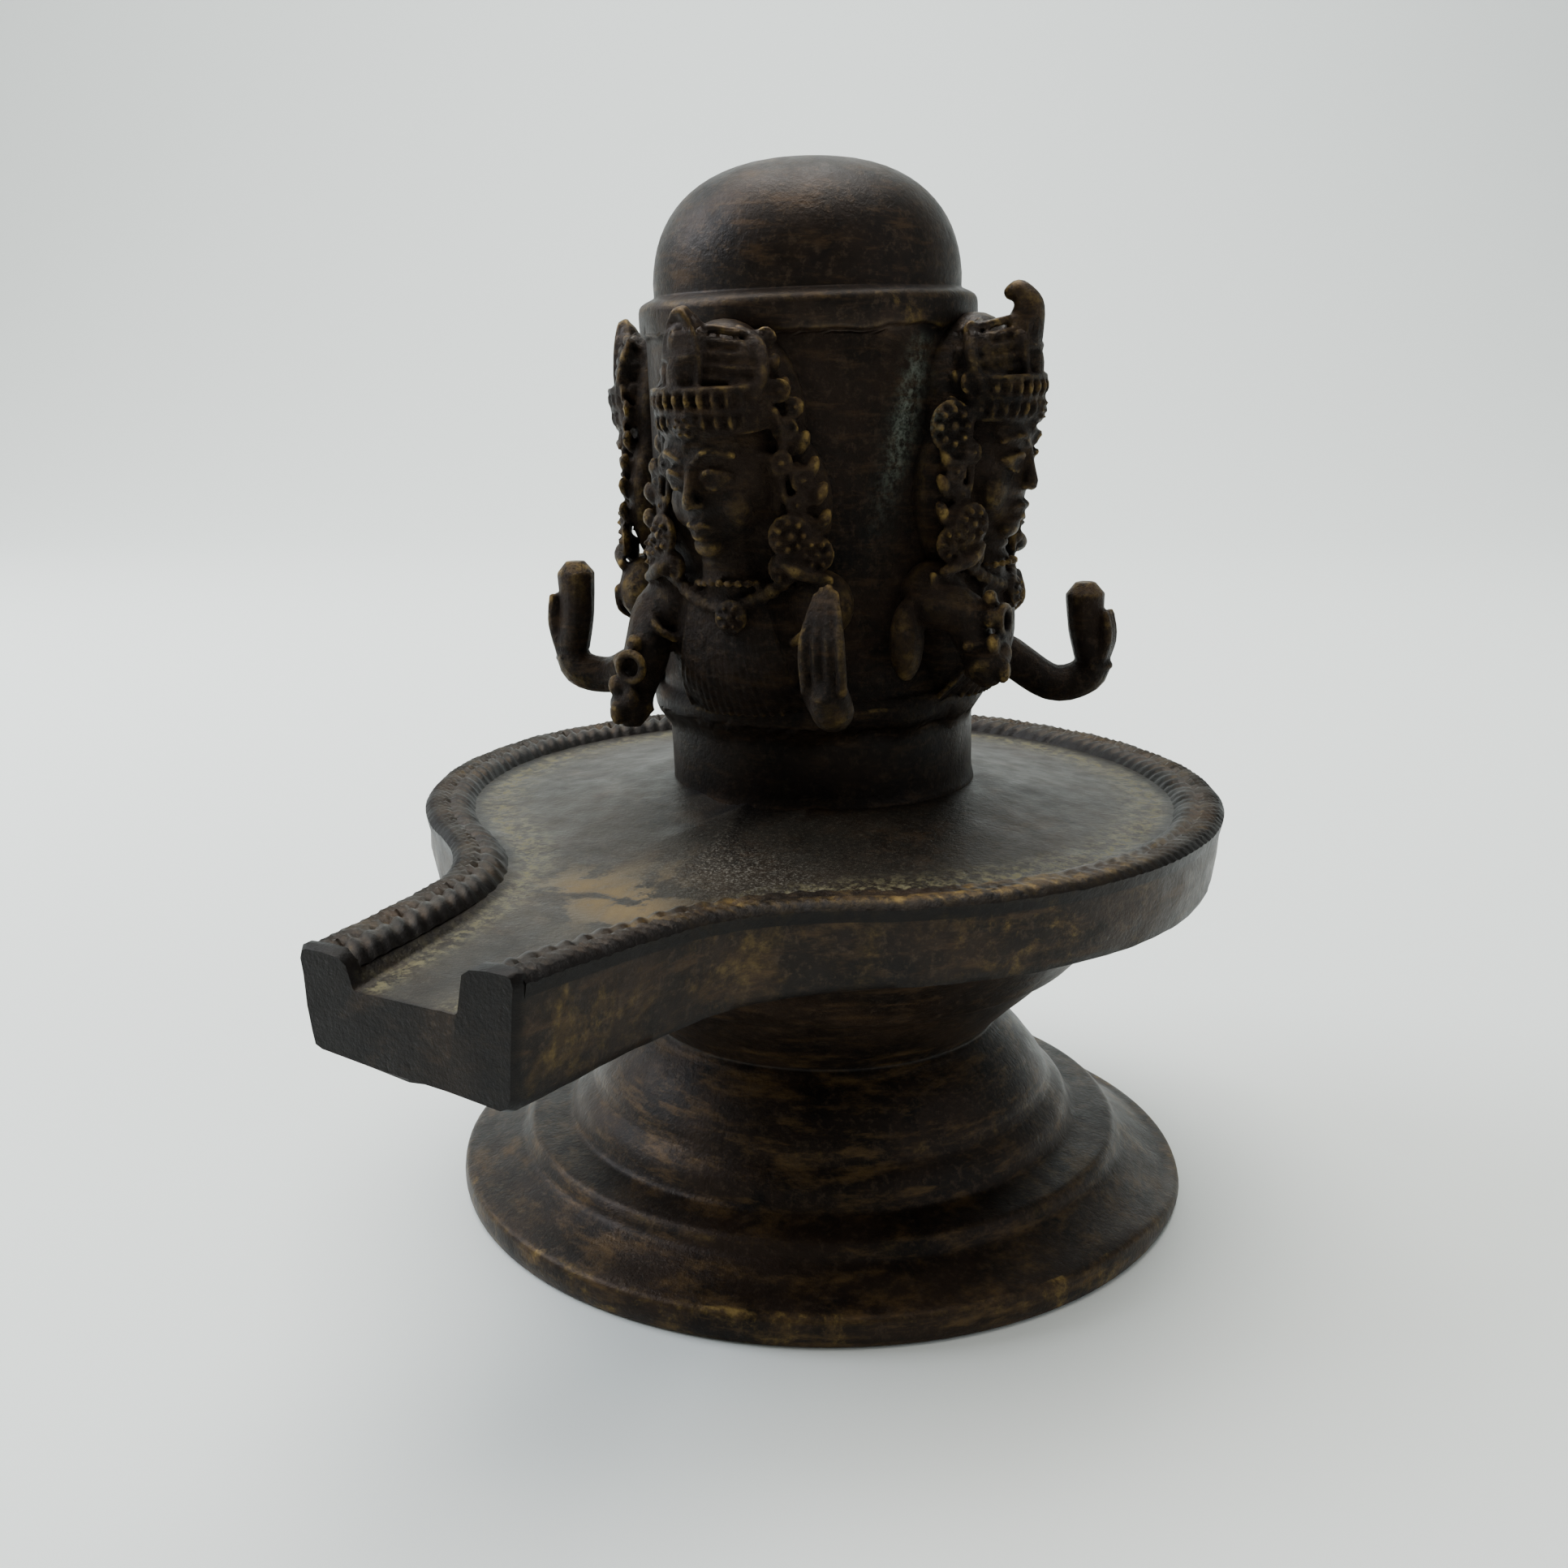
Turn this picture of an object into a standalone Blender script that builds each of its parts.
"""Four-faced shiva lingam, one bronze casting that stands on its own foot.

A turned foot carries a round offering plate whose spout runs out along -Y. The lingam rises from
the plate: neck, ledge, shaft, collar and dome, leaning a little as the old casting does. Four busts
stand out of the shaft, each with a crowned head, ear rosettes, a beaded necklace and two arms.
The frame has +Z up and its origin under the middle of the foot. All sizes are in metres.
"""

import math

import bmesh
import bpy
from mathutils import Matrix, Vector

# Foot, from the floor up. The rim is worn down along one side, between the two dip angles
FOOT_RADIUS = 0.0485
FOOT_RIM_HEIGHT = 0.0041
STEP_RADIUS = 0.0398
STEP_HEIGHT = 0.0082
BELL_RADIUS = 0.0343
SHOULDER_RADIUS = 0.0303
SHOULDER_HEIGHT = 0.0145
WAIST_RADIUS = 0.0233
WAIST_HEIGHT = 0.0224
RIM_ROUNDING = 0.0009
RIM_DIP = 0.0026
RIM_DIP_FROM = math.radians(4.0)
RIM_DIP_TO = math.radians(144.0)
RIM_DIP_EASE = math.radians(36.0)
BOWL_SWELL = 0.0010
WAIST_SWELL = 0.0008
BELL_HOLLOW = 0.0006
STEP_HOLLOW = 0.0009

# Offering plate and its spout, with a notched lip all round
PLATE_RADIUS = 0.0510
PLATE_UNDERSIDE = 0.0427
PLATE_THICKNESS = 0.0105
PLATE_DRAFT = 0.0010
BOWL_RADIUS = 0.0440
LIP_WIDTH = 0.0063
LIP_FALL = 0.0009
BASIN_DEPTH = 0.0021
BASIN_RISE = 0.0025
SPOUT_LENGTH = 0.0294
SPOUT_END_WIDTH = 0.0262
SPOUT_ROOT_ANGLE = math.radians(35.0)
SPOUT_THROAT_WIDTH = 0.0330
SPOUT_THROAT_OUT = 0.0070
SPOUT_RISE = 0.0008
SPOUT_DROP = 0.0009
SPOUT_TWIST = 0.0008
SPOUT_SWAY = 0.0006
SPOUT_ROOT_EASE = 0.0085
SPOUT_THROAT_EASE = (0.0018, 0.0070)
SPOUT_END_EASE = (0.0012, 0.0090)
SPOUT_LIP_SHARE = 0.52
CHANNEL_DEPTH = 0.0036
NOTCH_SPACING = 0.0078
NOTCH_DEPTH = 0.0006

# Lingam, from the plate up. It leans as a whole, and its edges are softened
NECK_RADIUS = 0.0194
NECK_FILLET = 0.0013
NECK_HEIGHT = 0.0089
LEDGE_RADIUS = 0.0214
LEDGE_HEIGHT = 0.0046
SHAFT_RADIUS = 0.0200
SHAFT_HEIGHT = 0.0426
COLLAR_RADIUS = 0.0208
COLLAR_HEIGHT = 0.0042
DOME_RADIUS = 0.0189
DOME_HEIGHT = 0.0160
DOME_SQUARENESS = 2.45
EDGE_SOFTENING = 0.0006
LEAN = math.radians(2.1)
LEAN_TOWARDS = math.radians(206.0)

# Busts. The head bows forward by so many degrees
BUST_COUNT = 4
BUST_HEIGHT = 0.0470
BUST_OVERHANG = 0.0024
HEAD_BOW = 12.0
BUSTS_TURN = math.radians(3.0)
# How far each bust's head stands out, as a share of the first one's, and its own turn, from the one
# over the spout anticlockwise
HEAD_DEPTHS = (1.0, 0.94, 0.95, 0.72)
HEAD_TURNS = (math.radians(-12.0), 0.0, 0.0, 0.0)
# Lowered right fist of each bust, from the one over the spout anticlockwise: sideways from the
# bust's middle, out from the shaft, and its level above the bust's foot
RIGHT_FISTS = (
    (0.0126, 0.0056, -0.0006),
    (0.0118, 0.0066, 0.0036),
    (0.0126, 0.0056, 0.0000),
    (0.0126, 0.0056, 0.0000),
)
# Raised left hand of each bust in the same order: sideways from the bust's middle, out from the
# shaft, and the levels of wrist and fingertips above the bust's foot
LEFT_HANDS = (
    (0.0155, 0.0095, 0.0020, 0.0155),
    (0.0145, 0.0122, -0.0012, 0.0130),
    (0.0150, 0.0115, 0.0000, 0.0140),
    (0.0085, 0.0122, 0.0010, 0.0172),
)

# Facets round the turned parts, points along half of the dome, and the smooth shading's limit
TURN_STEPS = 30
DOME_POINTS = 7
SHARP_ANGLE = math.radians(35.0)

# Bronze
BRONZE_COLOUR = (0.075, 0.055, 0.038, 1.0)
BRONZE_ROUGHNESS = 0.42
BRONZE_METALLIC = 0.9

# Levels that follow from the sizes above, and how deep parts run into each other
PLATE_TOP = PLATE_UNDERSIDE + PLATE_THICKNESS
BASIN_FLOOR = PLATE_TOP - BASIN_DEPTH
NECK_FOOT = BASIN_FLOOR + BASIN_RISE
LEDGE_FOOT = NECK_FOOT + NECK_HEIGHT
SHAFT_FOOT = LEDGE_FOOT + LEDGE_HEIGHT
COLLAR_FOOT = SHAFT_FOOT + SHAFT_HEIGHT
BUST_FOOT = SHAFT_FOOT - BUST_OVERHANG
DOME_FOOT = COLLAR_FOOT + COLLAR_HEIGHT
SPOUT_END = PLATE_RADIUS + SPOUT_LENGTH
BASIN_PEAK = BASIN_FLOOR + BASIN_RISE / (1.0 - NECK_RADIUS / (PLATE_RADIUS - LIP_WIDTH))
BURIED = 0.0030


def mesh_object(name, mesh, collection):
    """An object for a mesh, in a collection."""
    obj = bpy.data.objects.new(name, mesh)
    collection.objects.link(obj)
    return obj


def turned(name, profile, collection):
    """A solid of revolution about Z. The profile runs down the outer side, from axis to axis."""
    mesh = bpy.data.meshes.new(name)
    points = [(radius, 0.0, height) for radius, height in profile]
    edges = [(i, i + 1) for i in range(len(points) - 1)]
    mesh.from_pydata(points, edges, [])
    obj = mesh_object(name, mesh, collection)
    screw = obj.modifiers.new("turn", "SCREW")
    screw.steps = TURN_STEPS
    screw.render_steps = TURN_STEPS
    screw.use_merge_vertices = True
    screw.merge_threshold = 0.00001
    return made_mesh(obj, collection)


def made_mesh(obj, collection):
    """The evaluated object as a plain, welded mesh object in the same place."""
    bpy.context.view_layer.update()
    graph = bpy.context.evaluated_depsgraph_get()
    mesh = bpy.data.meshes.new_from_object(obj.evaluated_get(graph))
    shape = bmesh.new()
    shape.from_mesh(mesh)
    bmesh.ops.remove_doubles(shape, verts=shape.verts, dist=0.00001)
    bmesh.ops.recalc_face_normals(shape, faces=shape.faces)
    shape.to_mesh(mesh)
    shape.free()
    result = mesh_object(obj.name + "_mesh", mesh, collection)
    result.matrix_world = obj.matrix_world.copy()
    bpy.data.objects.remove(obj)
    return result


def arc(start, end, bulge, count):
    """Points from start to end in the profile plane, bowed sideways by bulge at the middle."""
    along = Vector(end) - Vector(start)
    side = Vector((along.y, -along.x)).normalized()
    points = []
    for i in range(count + 1):
        t = i / count
        point = Vector(start) + along * t + side * bulge * 4.0 * t * (1.0 - t)
        points.append((point.x, point.y))
    return points


def foot(collection):
    """The turned foot with its bell, waist and the bowl under the plate."""
    bowl_top = (BOWL_RADIUS, PLATE_UNDERSIDE)
    waist = (WAIST_RADIUS, WAIST_HEIGHT)
    shoulder = (SHOULDER_RADIUS, SHOULDER_HEIGHT)
    bell = (BELL_RADIUS, STEP_HEIGHT + 0.0004)
    rim = (FOOT_RADIUS - RIM_ROUNDING, FOOT_RIM_HEIGHT)
    profile = [(0.0, PLATE_UNDERSIDE + BURIED), (BOWL_RADIUS, PLATE_UNDERSIDE + BURIED)]
    profile += arc(bowl_top, waist, BOWL_SWELL, 4)
    profile += arc(waist, shoulder, WAIST_SWELL, 2)[1:]
    profile += arc(shoulder, bell, -BELL_HOLLOW, 2)[1:]
    profile += [(STEP_RADIUS - 0.0005, STEP_HEIGHT), (STEP_RADIUS, STEP_HEIGHT - 0.0005)]
    profile += arc((STEP_RADIUS + 0.0005, STEP_HEIGHT - 0.0017), rim, -STEP_HOLLOW, 2)
    profile += [(FOOT_RADIUS, FOOT_RIM_HEIGHT - RIM_ROUNDING), (FOOT_RADIUS, RIM_ROUNDING * 0.5)]
    profile += [(FOOT_RADIUS - RIM_ROUNDING * 0.5, 0.0), (0.0, 0.0)]
    solid = turned("foot", profile, collection)
    for vertex in solid.data.vertices:
        vertex.co.z *= 1.0 - rim_dip(vertex.co) * RIM_DIP / FOOT_RIM_HEIGHT
    return solid


def rim_dip(place):
    """How far the worn-down part of the foot's rim dips here, from 0 to 1."""
    radius = math.hypot(place.x, place.y)
    angle = math.atan2(place.y, place.x)
    rise = smooth(min(max((angle - RIM_DIP_FROM) / RIM_DIP_EASE + 0.5, 0.0), 1.0))
    fall = smooth(min(max((RIM_DIP_TO - angle) / RIM_DIP_EASE + 0.5, 0.0), 1.0))
    outward = min(max((radius - STEP_RADIUS) / (FOOT_RADIUS - STEP_RADIUS - 0.0020), 0.0), 1.0)
    return rise * fall * outward if place.z < STEP_HEIGHT else 0.0


def lingam_shaft(collection):
    """The turned neck, ledge, shaft, collar and dome, before it leans."""
    profile = []
    for i in range(DOME_POINTS):
        angle = math.radians(90.0) * (1.0 - i / DOME_POINTS)
        radius = DOME_RADIUS * math.cos(angle) ** (2.0 / DOME_SQUARENESS)
        height = DOME_HEIGHT * math.sin(angle) ** (2.0 / DOME_SQUARENESS)
        profile.append((0.0 if i == 0 else radius, DOME_FOOT + height))
    profile.append((DOME_RADIUS, DOME_FOOT))
    collar_edge = COLLAR_HEIGHT * 0.35
    profile += [(COLLAR_RADIUS - EDGE_SOFTENING, DOME_FOOT - collar_edge * 0.3)]
    profile += [(COLLAR_RADIUS, DOME_FOOT - collar_edge)]
    profile += [(COLLAR_RADIUS, COLLAR_FOOT), (SHAFT_RADIUS, COLLAR_FOOT - 0.0003)]
    profile += [(SHAFT_RADIUS, SHAFT_FOOT), (LEDGE_RADIUS - EDGE_SOFTENING, SHAFT_FOOT - 0.0002)]
    profile += [(LEDGE_RADIUS, SHAFT_FOOT - 0.0010), (LEDGE_RADIUS, LEDGE_FOOT + LEDGE_HEIGHT * 0.42)]
    fillet_top = (NECK_RADIUS, NECK_FOOT + NECK_FILLET)
    fillet_end = (NECK_RADIUS + NECK_FILLET, NECK_FOOT)
    profile += [(NECK_RADIUS, LEDGE_FOOT), fillet_top]
    profile += arc(fillet_top, fillet_end, -EDGE_SOFTENING, 2)[1:]
    profile += [(NECK_RADIUS + NECK_FILLET, NECK_FOOT - BURIED), (0.0, NECK_FOOT - BURIED)]
    return turned("lingam", profile, collection)


def plate_outline():
    """Half of the plate's outline as evenly spaced points, from the spout's end to the back."""
    root = Vector((math.sin(SPOUT_ROOT_ANGLE), -math.cos(SPOUT_ROOT_ANGLE))) * PLATE_RADIUS
    throat = Vector((SPOUT_THROAT_WIDTH / 2, -PLATE_RADIUS - SPOUT_THROAT_OUT))
    end = Vector((SPOUT_END_WIDTH / 2, -SPOUT_END))
    root_lead = Vector((math.cos(SPOUT_ROOT_ANGLE), math.sin(SPOUT_ROOT_ANGLE))) * -SPOUT_ROOT_EASE
    throat_lead = Vector(SPOUT_THROAT_EASE)
    line = bezier(end, end + Vector(SPOUT_END_EASE), throat - throat_lead, throat, 0.0001)
    line += bezier(throat, throat + throat_lead, root + root_lead, root, 0.0001)[1:]
    step = math.radians(0.25)
    angle = SPOUT_ROOT_ANGLE + step
    while angle < math.pi:
        line.append(Vector((math.sin(angle), -math.cos(angle))) * PLATE_RADIUS)
        angle += step
    line.append(Vector((0.0, PLATE_RADIUS)))
    return even_points(line, NOTCH_SPACING / 2.0)


def bezier(start, lead, trail, end, spacing):
    """Points on a cubic curve."""
    count = max(4, round((end - start).length / spacing / 4))
    points = []
    for i in range(count + 1):
        t = i / count
        a = start.lerp(lead, t)
        b = lead.lerp(trail, t)
        c = trail.lerp(end, t)
        points.append(a.lerp(b, t).lerp(b.lerp(c, t), t))
    return points


def even_points(line, spacing):
    """An even number of equal steps along a line, close to the spacing asked for."""
    lengths = [0.0]
    for a, b in zip(line, line[1:]):
        lengths.append(lengths[-1] + (b - a).length)
    count = 2 * max(8, round(lengths[-1] / spacing / 2))
    points = []
    k = 0
    for i in range(count + 1):
        goal = lengths[-1] * i / count
        while k < len(line) - 2 and lengths[k + 1] < goal:
            k += 1
        t = (goal - lengths[k]) / (lengths[k + 1] - lengths[k])
        points.append(line[k].lerp(line[k + 1], t))
    return points


def plate(collection):
    """The plate and spout: a loft of sections from the underside over the notched lip to the basin."""
    right = plate_outline()
    left = [Vector((-point.x, point.y)) for point in reversed(right[:-1])]
    outline = right + left
    throat_out = PLATE_RADIUS * math.cos(SPOUT_ROOT_ANGLE)
    rows = []
    for i, point in enumerate(outline):
        before = outline[max(i - 1, 0)]
        after = outline[min(i + 1, len(outline) - 1)]
        tangent = (after - before).normalized()
        inward = Vector((-tangent.y, tangent.x))
        if i in (0, len(outline) - 1):
            inward = Vector((-math.copysign(1.0, point.x), 0.0))
        out_on_spout = min(max(-point.y - throat_out, 0.0) / (SPOUT_END - throat_out), 1.0)
        spine = Vector((0.0, -SPOUT_END * smooth(out_on_spout)))
        row = plate_section(point, inward, spine, out_on_spout, i % 2)
        rows.append([corner - Vector((SPOUT_SWAY * out_on_spout, 0.0, 0.0)) for corner in row])
    shape = bmesh.new()
    grid = [[shape.verts.new(corner) for corner in row] for row in rows]
    for near, far in zip(grid, grid[1:]):
        for k in range(len(near) - 1):
            shape.faces.new((near[k], near[k + 1], far[k + 1], far[k]))
    shape.faces.new(grid[0][::-1] + grid[-1])
    bmesh.ops.remove_doubles(shape, verts=shape.verts, dist=0.00001)
    bmesh.ops.dissolve_degenerate(shape, edges=shape.edges, dist=0.000005)
    bmesh.ops.recalc_face_normals(shape, faces=shape.faces)
    mesh = bpy.data.meshes.new("plate")
    shape.to_mesh(mesh)
    shape.free()
    return mesh_object("plate", mesh, collection)


def smooth(t):
    """A soft ramp from 0 to 1."""
    return t * t * (3.0 - 2.0 * t)


def plate_section(point, inward, spine, spout, notch):
    """One section of the plate: from the spine below, round the lip, to the spine on the floor.

    The spine is the plate's middle, or the spout's centreline; spout runs from 0 to 1 along it.
    """
    twist = SPOUT_TWIST * spout * point.x / (SPOUT_END_WIDTH / 2)
    under = PLATE_UNDERSIDE - SPOUT_DROP * spout - twist
    top = PLATE_TOP + SPOUT_RISE * spout + twist
    floor = BASIN_FLOOR + (PLATE_TOP - CHANNEL_DEPTH - BASIN_FLOOR) * spout
    middle = BASIN_PEAK + (floor - BASIN_PEAK) * min(1.0, spout * 3.0)
    cut = NOTCH_DEPTH if notch else 0.0
    lip = min(LIP_WIDTH, abs(point.x) * SPOUT_LIP_SHARE) if spout > 0.5 else LIP_WIDTH

    def at(depth, height):
        place = point + inward * depth
        return Vector((place.x, place.y, height))

    return [
        Vector((spine.x, spine.y, PLATE_UNDERSIDE - SPOUT_DROP * spout)),
        at(PLATE_DRAFT + 0.0012, under),
        at(PLATE_DRAFT, under + 0.0010),
        at(0.0, top - LIP_FALL),
        at(lip * 0.14, top - cut * 0.8),
        at(lip * 0.36, top - (NOTCH_DEPTH - cut) * 0.6),
        at(lip * 0.52, top - NOTCH_DEPTH * 0.7),
        at(lip * 0.74, top - cut * 0.8),
        at(lip * 0.95, top - 0.0008),
        at(lip + 0.0004, floor),
        Vector((spine.x, spine.y, middle)),
    ]


def lean_matrix():
    """The lean of the whole lingam, about the middle of its neck's foot."""
    foot_point = Vector((0.0, 0.0, NECK_FOOT))
    axis = Vector((-math.sin(LEAN_TOWARDS), math.cos(LEAN_TOWARDS), 0.0))
    return Matrix.Translation(foot_point) @ Matrix.Rotation(LEAN, 4, axis) @ Matrix.Translation(-foot_point)


class Bust:
    """One bust. Places and radii are shares of its height; out is counted from the shaft's surface."""

    def __init__(self, number, collection):
        self.number = number
        self.collection = collection
        turn = 2.0 * math.pi * number / BUST_COUNT + BUSTS_TURN
        self.frame = lean_matrix() @ Matrix.Rotation(turn, 4, "Z")
        self.pieces = []

    def turn_head(self):
        """Turns and sets in what is made from here on: the head's own stance on the shaft."""
        surface = Matrix.Translation((0.0, -SHAFT_RADIUS, 0.0))
        turn = Matrix.Rotation(HEAD_TURNS[self.number], 4, "Z")
        depth = Matrix.Diagonal((1.0, HEAD_DEPTHS[self.number], 1.0, 1.0))
        self.frame = self.frame @ surface @ turn @ depth @ surface.inverted()

    def place(self, side, out, up):
        return Vector((side * BUST_HEIGHT, -SHAFT_RADIUS - out * BUST_HEIGHT, BUST_FOOT + up * BUST_HEIGHT))

    def ball(self, name, centre, radii, tip=0.0, segments=6, rings=4):
        """An egg: radii are sideways, outwards and upwards, tipped about the sideways axis."""
        shape = bmesh.new()
        bmesh.ops.create_uvsphere(shape, u_segments=segments, v_segments=rings, radius=1.0)
        scale = Matrix.Diagonal((*[share * BUST_HEIGHT for share in radii], 1.0))
        turn = Matrix.Rotation(math.radians(tip), 4, "X")
        shape.transform(self.frame @ Matrix.Translation(self.place(*centre)) @ turn @ scale)
        mesh = bpy.data.meshes.new(name)
        shape.to_mesh(mesh)
        shape.free()
        self.pieces.append(mesh_object(f"{name}_{self.number}", mesh, self.collection))

    def limb(self, name, route):
        """A tapering tube through (side, out, up, radius) points."""
        curve = bpy.data.curves.new(name, "CURVE")
        curve.dimensions = "3D"
        curve.bevel_depth = BUST_HEIGHT
        curve.bevel_resolution = 1
        curve.use_fill_caps = True
        spline = curve.splines.new("POLY")
        spline.points.add(len(route) - 1)
        for point, (side, out, up, radius) in zip(spline.points, route):
            point.co = (*(self.frame @ self.place(side, out, up)), 1.0)
            point.radius = radius
        obj = mesh_object(f"{name}_{self.number}", curve, self.collection)
        self.pieces.append(made_mesh(obj, self.collection))


def bust_head(bust):
    """Hair, head, face and diadem."""
    bust.ball("hood", (0.0, 0.0, 0.68), (0.262, 0.112, 0.300), segments=9, rings=5)
    bust.ball("topknot", (0.0, 0.030, 0.880), (0.165, 0.090, 0.110), segments=8, rings=4)
    bust.ball("head", (0.0, 0.042, 0.605), (0.134, 0.136, 0.182), tip=HEAD_BOW, segments=10, rings=7)
    bust.ball("nose", (0.0, 0.158, 0.590), (0.024, 0.028, 0.058), tip=HEAD_BOW + 12.0)
    bust.ball("lips", (0.0, 0.128, 0.508), (0.042, 0.024, 0.017))
    for side in (-1, 1):
        bust.ball("eye", (side * 0.056, 0.142, 0.636), (0.036, 0.024, 0.018))
    bust.ball("diadem", (0.0, 0.062, 0.758), (0.156, 0.132, 0.045), segments=8, rings=4)


def bust_crown(bust):
    """The tall middle leaf of the crown and its side leaves, with the rosettes by the temples."""
    bust.ball("crown_leaf", (0.0, 0.174, 0.898), (0.054, 0.046, 0.125), segments=6, rings=5)
    for side in (-1, 1):
        bust.ball("side_leaf", (side * 0.135, 0.085, 0.845), (0.040, 0.040, 0.075))
        bust.ball("temple_rosette", (side * 0.212, 0.030, 0.735), (0.062, 0.042, 0.062), segments=7, rings=4)
        bust.ball("ear_rosette", (side * 0.190, 0.052, 0.492), (0.076, 0.048, 0.082), segments=7, rings=4)


def bust_body(bust):
    """Neck, shoulders, chest and the beads of the necklace."""
    bust.ball("neck", (0.0, 0.040, 0.410), (0.076, 0.070, 0.090))
    bust.ball("chest", (0.0, -0.020, 0.225), (0.215, 0.128, 0.225), segments=9, rings=5)
    for side in (-1, 1):
        bust.ball("shoulder", (side * 0.196, -0.012, 0.305), (0.092, 0.090, 0.092), segments=7, rings=5)
    necklace = []
    for across in (-1.0, -0.5, 0.0, 0.5, 1.0):
        necklace.append((across * 0.150, 0.095 - 0.050 * across**2, 0.318 + 0.070 * across**2, 0.026))
    bust.limb("necklace", necklace)


def bust_arms(bust):
    """The right arm lowered to its fist, and the left forearm that reaches out and raises its hand."""
    side, out, fist = [size / BUST_HEIGHT for size in RIGHT_FISTS[bust.number]]
    bust.limb(
        "right_arm",
        [
            (-0.200, -0.060, 0.330, 0.050),
            (-0.245, 0.010, 0.285, 0.062),
            (-side * 0.94, out * 0.55, fist + 0.190, 0.066),
            (-side * 0.98, out * 0.85, fist + 0.100, 0.050),
            (-side, out, fist + 0.050, 0.064),
            (-side, out * 1.05, fist, 0.046),
        ],
    )
    side, out, wrist, tip = [size / BUST_HEIGHT for size in LEFT_HANDS[bust.number]]
    rise = tip - wrist
    bust.limb(
        "left_arm",
        [
            (0.160, -0.080, 0.130, 0.052),
            (0.215, 0.020, 0.100, 0.054),
            (side * 0.90, out * 0.55, wrist + 0.030, 0.052),
            (side, out * 0.94, wrist + 0.050, 0.052),
            (side, out, wrist + rise * 0.42, 0.050),
            (side, out * 0.98, wrist + rise * 0.66, 0.058),
            (side * 0.98, out * 0.92, wrist + rise * 0.86, 0.056),
            (side * 0.95, out * 0.84, tip, 0.036),
        ],
    )
    palm = (side, out, wrist + rise * 0.40, 0.026)
    thumb_tip = (side * 0.86, out * 0.62, wrist + rise * 0.84, 0.022)
    bust.limb("thumb", [palm, (side * 0.90, out * 0.70, wrist + rise * 0.55, 0.028), thumb_tip])


def joined(base, others, name, collection):
    """One closed solid from overlapping ones, and only that object is kept."""
    operands = bpy.data.collections.new("operands")
    bpy.context.scene.collection.children.link(operands)
    for other in others:
        operands.objects.link(other)
        collection.objects.unlink(other)
    union = base.modifiers.new("join", "BOOLEAN")
    union.operation = "UNION"
    union.solver = "EXACT"
    union.operand_type = "COLLECTION"
    union.collection = operands
    solid = made_mesh(base, collection)
    solid.name = name
    solid.data.name = name
    for other in others:
        bpy.data.objects.remove(other)
    bpy.data.collections.remove(operands)
    return solid


def bronze():
    """Dark, worn bronze."""
    material = bpy.data.materials.new("patinated_bronze")
    material.use_nodes = True
    shader = material.node_tree.nodes["Principled BSDF"]
    shader.inputs["Base Color"].default_value = BRONZE_COLOUR
    shader.inputs["Roughness"].default_value = BRONZE_ROUGHNESS
    shader.inputs["Metallic"].default_value = BRONZE_METALLIC
    return material


def main():
    for obj in list(bpy.data.objects):
        bpy.data.objects.remove(obj)
    collection = bpy.data.collections.new("shiva_lingam")
    bpy.context.scene.collection.children.link(collection)
    base = foot(collection)
    lingam = lingam_shaft(collection)
    lingam.data.transform(lean_matrix())
    others = [plate(collection), lingam]
    for number in range(BUST_COUNT):
        bust = Bust(number, collection)
        bust_body(bust)
        bust_arms(bust)
        bust.turn_head()
        bust_head(bust)
        bust_crown(bust)
        others += bust.pieces
    solid = joined(base, others, "shiva_lingam", collection)
    solid.data.materials.clear()
    solid.data.materials.append(bronze())
    solid.data.shade_smooth()
    solid.data.set_sharp_from_angle(angle=SHARP_ANGLE)
    return solid


main()
